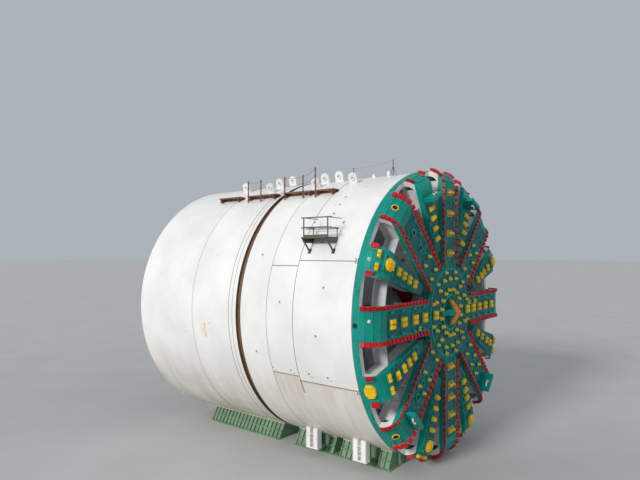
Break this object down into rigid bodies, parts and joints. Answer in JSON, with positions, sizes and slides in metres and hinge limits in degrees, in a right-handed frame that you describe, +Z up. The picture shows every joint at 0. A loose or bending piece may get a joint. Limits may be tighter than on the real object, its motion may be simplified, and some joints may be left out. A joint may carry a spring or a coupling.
{
  "type": "tunnel boring machine",
  "caption": "Large shield tunnel boring machine: spoked cutterhead with drag bits, steel shield, thrust jacks, segment erector and screw conveyor, standing on its assembly cradles.",
  "frame": {"origin": "centre of the object's bounding box in plan, on the floor under the cradles", "axes": "+Z up; the machine axis is parallel to Y and the cutterhead faces -Y"},
  "size_m": [17.6966, 20.2104, 18.0865],
  "materials": {
    "shield_white": "satin white paint, weathered",
    "chamber_white": "matt pale grey paint",
    "head_teal": "gloss teal paint",
    "bit_red": "gloss red paint",
    "bit_yellow": "gloss yellow paint",
    "hub_red": "satin red paint",
    "rusty_steel": "rust film on machined steel",
    "door_blue": "dark blue paint",
    "cradle_green": "pale green paint, worn",
    "motor_blue": "blue paint",
    "erector_yellow": "yellow paint",
    "gripper_orange": "orange paint",
    "bare_steel": "ground steel",
    "rod_chrome": "hard chrome",
    "walkway_brown": "rust-red primer",
    "walkway_grey": "galvanised grey",
    "seal_brush": "wire brush packed with grease",
    "cutter_dark": "dark cast steel"
  },
  "bodies": {
    "front_shield": {"front_shield_skin": "shield_white", "bulkhead": "chamber_white", "hatch_frames": "door_blue", "fixed_mixing_bars": "chamber_white", "bearing_housing": "chamber_white", "drive_motors": "motor_blue", "man_locks": "chamber_white", "articulation_sleeve": "rusty_steel", "screw_casing": "chamber_white", "screw_discharge": "chamber_white", "front_cradle": "cradle_green", "jacking_brackets": "shield_white", "front_padeyes": "shield_white", "front_platforms": "walkway_brown", "side_platform": "walkway_grey"},
    "hatch_left": {"hatch_door_left": "door_blue"},
    "hatch_right": {"hatch_door_right": "door_blue"},
    "discharge_gate": {"discharge_gate": "cutter_dark"},
    "screw": {"screw_shaft": "bare_steel", "screw_flight": "bare_steel"},
    "cutterhead": {"centre_plate": "head_teal", "main_spokes": "head_teal", "secondary_arms": "head_teal", "head_rim": "head_teal", "opening_walls": "chamber_white", "rim_gussets": "chamber_white", "centre_bit": "head_teal", "scraper_bits": "bit_red", "face_bits": "bit_yellow", "head_lugs": "head_teal", "head_mixing_bars": "chamber_white", "leg_seats": "rusty_steel", "legs": "chamber_white", "drive_ring": "chamber_white", "hub_drum": "hub_red", "hub_ring": "chamber_white"},
    "copy_cutter": {"copy_cutter": "cutter_dark"},
    "tail_shield": {"tail_skin": "shield_white", "tail_seals": "seal_brush", "thrust_ring": "chamber_white", "jack_barrels": "motor_blue", "erector_frame": "erector_yellow", "work_decks": "walkway_grey", "rear_cradle": "cradle_green", "rear_padeyes": "shield_white", "rear_platforms": "walkway_brown"},
    "jacks_top": {"jack_rods_top": "rod_chrome"},
    "jacks_right": {"jack_rods_right": "rod_chrome"},
    "jacks_bottom": {"jack_rods_bottom": "rod_chrome"},
    "jacks_left": {"jack_rods_left": "rod_chrome"},
    "erector": {"erector_ring": "erector_yellow"},
    "gripper": {"segment_gripper": "gripper_orange"}
  },
  "joints": [
    {"name": "cutterhead_spin", "type": "hinge", "parent": "front_shield", "child": "cutterhead", "pos_m": [0, -8.09485, 8.95], "axis": [0, -1, 0], "continuous": true},
    {"name": "copy_cutter_slide", "type": "slide", "parent": "cutterhead", "child": "copy_cutter", "axis": [-1, 0, 0], "range_m": [0, 0.15]},
    {"name": "articulation", "type": "hinge", "parent": "front_shield", "child": "tail_shield", "pos_m": [0, 0.60515, 8.95], "axis": [0, 0, 1], "range_deg": [-1.2, 1.2]},
    {"name": "hatch_left_hinge", "type": "hinge", "parent": "front_shield", "child": "hatch_left", "pos_m": [2.24923, -5.85085, 15.05306], "axis": [0, 0, -1], "range_deg": [0, 100]},
    {"name": "hatch_right_hinge", "type": "hinge", "parent": "front_shield", "child": "hatch_right", "pos_m": [3.80897, -5.85085, 15.09888], "axis": [0, 0, -1], "range_deg": [0, 100]},
    {"name": "screw_spin", "type": "hinge", "parent": "front_shield", "child": "screw", "pos_m": [0, -5.76485, 2.2], "axis": [0, 0.9397, 0.342], "continuous": true},
    {"name": "discharge_gate_slide", "type": "slide", "parent": "front_shield", "child": "discharge_gate", "axis": [1, 0, 0], "range_m": [0, 1.25]},
    {"name": "erector_spin", "type": "hinge", "parent": "tail_shield", "child": "erector", "pos_m": [0, 4.80515, 8.95], "axis": [0, -1, 0], "range_deg": [-200, 200]},
    {"name": "gripper_slide", "type": "slide", "parent": "erector", "child": "gripper", "axis": [0, 0, 1], "range_m": [0, 1.2]},
    {"name": "jacks_top_slide", "type": "slide", "parent": "tail_shield", "child": "jacks_top", "axis": [0, 1, 0], "range_m": [0, 2.1]},
    {"name": "jacks_right_slide", "type": "slide", "parent": "tail_shield", "child": "jacks_right", "axis": [0, 1, 0], "range_m": [0, 2.1]},
    {"name": "jacks_bottom_slide", "type": "slide", "parent": "tail_shield", "child": "jacks_bottom", "axis": [0, 1, 0], "range_m": [0, 2.1]},
    {"name": "jacks_left_slide", "type": "slide", "parent": "tail_shield", "child": "jacks_left", "axis": [0, 1, 0], "range_m": [0, 2.1]}
  ]
}
